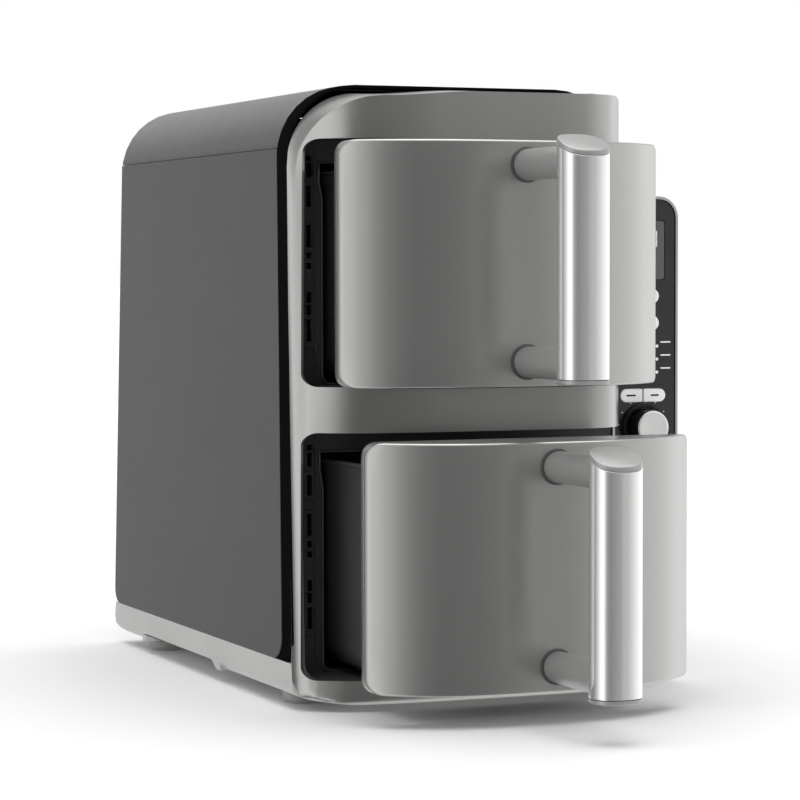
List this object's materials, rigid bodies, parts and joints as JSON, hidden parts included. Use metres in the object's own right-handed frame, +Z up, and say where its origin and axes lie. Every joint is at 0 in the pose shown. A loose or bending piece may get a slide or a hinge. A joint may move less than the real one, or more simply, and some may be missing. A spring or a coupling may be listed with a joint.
{
  "type": "air fryer",
  "caption": "Countertop air fryer with stacked pull-out drawers, upright bar handles and a side column of push keys with a turning dial.",
  "frame": {"origin": "middle of the overall footprint, on the surface that the feet stand on", "axes": "+Z up, -Y towards the front where the drawers pull out, +X to the right where the controls are"},
  "size_m": [0.28, 0.5714, 0.385],
  "materials": {
    "casing_paint": "matte dark grey paint, fine texture",
    "bezel_grey": "satin moulded plastic, light warm grey",
    "trim_black": "black, half gloss",
    "base_grey": "satin moulded plastic, pale grey",
    "inner_black": "fine-textured black",
    "panel_gloss": "polished black",
    "chrome_trim": "polished",
    "display_grey": "smoked display window",
    "dial_black": "satin black",
    "dial_silver": "spun, with a circular brushed grain",
    "steel_parts": "plain steel",
    "circuit_board": "lacquered green board",
    "liner_steel": "dark coated sheet",
    "foot_rubber": "matte",
    "key_white": "satin, near white",
    "front_paint": "satin grey with a faint metallic sheen",
    "chrome_cover": "polished",
    "handle_grey": "satin moulded plastic, light grey",
    "basket_coating": "dark non-stick coating",
    "rack_steel": "chromed wire"
  },
  "bodies": {
    "casing": {"top_cover": "casing_paint", "left_side_panel": "casing_paint", "right_side_panel": "casing_paint", "back_panel": "inner_black", "arch_trim": "trim_black", "front_bezel": "bezel_grey", "base_housing": "base_grey", "front_left_foot": "foot_rubber", "front_right_foot": "foot_rubber", "rear_left_foot": "foot_rubber", "rear_right_foot": "foot_rubber", "cavity_divider": "liner_steel", "control_housing": "base_grey", "control_panel": "panel_gloss", "panel_trim": "chrome_trim", "display_window": "display_grey", "dial_collar": "dial_black", "dial_encoder": "steel_parts", "control_board": "circuit_board", "power_board": "circuit_board", "cord_gland": "inner_black", "lower_mouth_frame": "inner_black", "lower_cavity_liner": "liner_steel", "lower_fan_guard": "steel_parts", "lower_heating_element": "steel_parts", "lower_fan_motor": "steel_parts", "upper_mouth_frame": "inner_black", "upper_cavity_liner": "liner_steel", "upper_fan_guard": "steel_parts", "upper_heating_element": "steel_parts", "upper_fan_motor": "steel_parts"},
    "lower_drawer": {"lower_drawer_front": "front_paint", "lower_drawer_backing": "inner_black", "lower_handle_cover": "chrome_cover", "lower_handle_grip": "handle_grey", "lower_handle_lower_screw": "steel_parts", "lower_handle_upper_screw": "steel_parts", "lower_basket": "basket_coating"},
    "lower_crisper_plate": {"lower_crisper_plate": "basket_coating"},
    "lower_rack": {"lower_rack": "rack_steel"},
    "lower_fan_wheel": {"lower_fan_wheel": "steel_parts"},
    "upper_drawer": {"upper_drawer_front": "front_paint", "upper_drawer_backing": "inner_black", "upper_handle_cover": "chrome_cover", "upper_handle_grip": "handle_grey", "upper_handle_lower_screw": "steel_parts", "upper_handle_upper_screw": "steel_parts", "upper_basket": "basket_coating"},
    "upper_crisper_plate": {"upper_crisper_plate": "basket_coating"},
    "upper_rack": {"upper_rack": "rack_steel"},
    "upper_fan_wheel": {"upper_fan_wheel": "steel_parts"},
    "upper_zone_button": {"upper_zone_button": "key_white"},
    "lower_zone_button": {"lower_zone_button": "key_white"},
    "temperature_button": {"temperature_button": "key_white"},
    "time_button": {"time_button": "key_white"},
    "start_button": {"start_button": "key_white"},
    "power_button": {"power_button": "key_white"},
    "dial": {"dial_knob": "dial_black", "dial_face": "dial_silver"}
  },
  "joints": [
    {"name": "lower_drawer_slide", "type": "slide", "parent": "casing", "child": "lower_drawer", "axis": [0, -1, 0], "range_m": [-0.084, 0.238]},
    {"name": "lower_crisper_lift", "type": "slide", "parent": "lower_drawer", "child": "lower_crisper_plate", "axis": [0, 0, 1], "range_m": [0, 0.025]},
    {"name": "lower_rack_lift", "type": "slide", "parent": "lower_crisper_plate", "child": "lower_rack", "axis": [0, 0, 1], "range_m": [0, 0.03]},
    {"name": "lower_fan_spin", "type": "hinge", "parent": "casing", "child": "lower_fan_wheel", "pos_m": [-0.017, 0.2368, 0.08875], "axis": [0, 1, 0], "continuous": true},
    {"name": "upper_drawer_slide", "type": "slide", "parent": "casing", "child": "upper_drawer", "axis": [0, -1, 0], "range_m": [-0.042, 0.28]},
    {"name": "upper_crisper_lift", "type": "slide", "parent": "upper_drawer", "child": "upper_crisper_plate", "axis": [0, 0, 1], "range_m": [0, 0.025]},
    {"name": "upper_rack_lift", "type": "slide", "parent": "upper_crisper_plate", "child": "upper_rack", "axis": [0, 0, 1], "range_m": [0, 0.03]},
    {"name": "upper_fan_spin", "type": "hinge", "parent": "casing", "child": "upper_fan_wheel", "pos_m": [-0.017, 0.2368, 0.26825], "axis": [0, 1, 0], "continuous": true},
    {"name": "upper_zone_button_press", "type": "slide", "parent": "casing", "child": "upper_zone_button", "axis": [0, 1, 0], "range_m": [0, 0.0012], "stiffness_N_per_m": 300, "springref_m": -0.001},
    {"name": "lower_zone_button_press", "type": "slide", "parent": "casing", "child": "lower_zone_button", "axis": [0, 1, 0], "range_m": [0, 0.0012], "stiffness_N_per_m": 300, "springref_m": -0.001},
    {"name": "temperature_button_press", "type": "slide", "parent": "casing", "child": "temperature_button", "axis": [0, 1, 0], "range_m": [0, 0.0012], "stiffness_N_per_m": 300, "springref_m": -0.001},
    {"name": "time_button_press", "type": "slide", "parent": "casing", "child": "time_button", "axis": [0, 1, 0], "range_m": [0, 0.0012], "stiffness_N_per_m": 300, "springref_m": -0.001},
    {"name": "start_button_press", "type": "slide", "parent": "casing", "child": "start_button", "axis": [0, 1, 0], "range_m": [0, 0.0012], "stiffness_N_per_m": 300, "springref_m": -0.001},
    {"name": "power_button_press", "type": "slide", "parent": "casing", "child": "power_button", "axis": [0, 1, 0], "range_m": [0, 0.0012], "stiffness_N_per_m": 300, "springref_m": -0.001},
    {"name": "dial_turn", "type": "hinge", "parent": "casing", "child": "dial", "pos_m": [0.115, -0.0632, 0.1678], "axis": [0, 1, 0], "continuous": true}
  ]
}
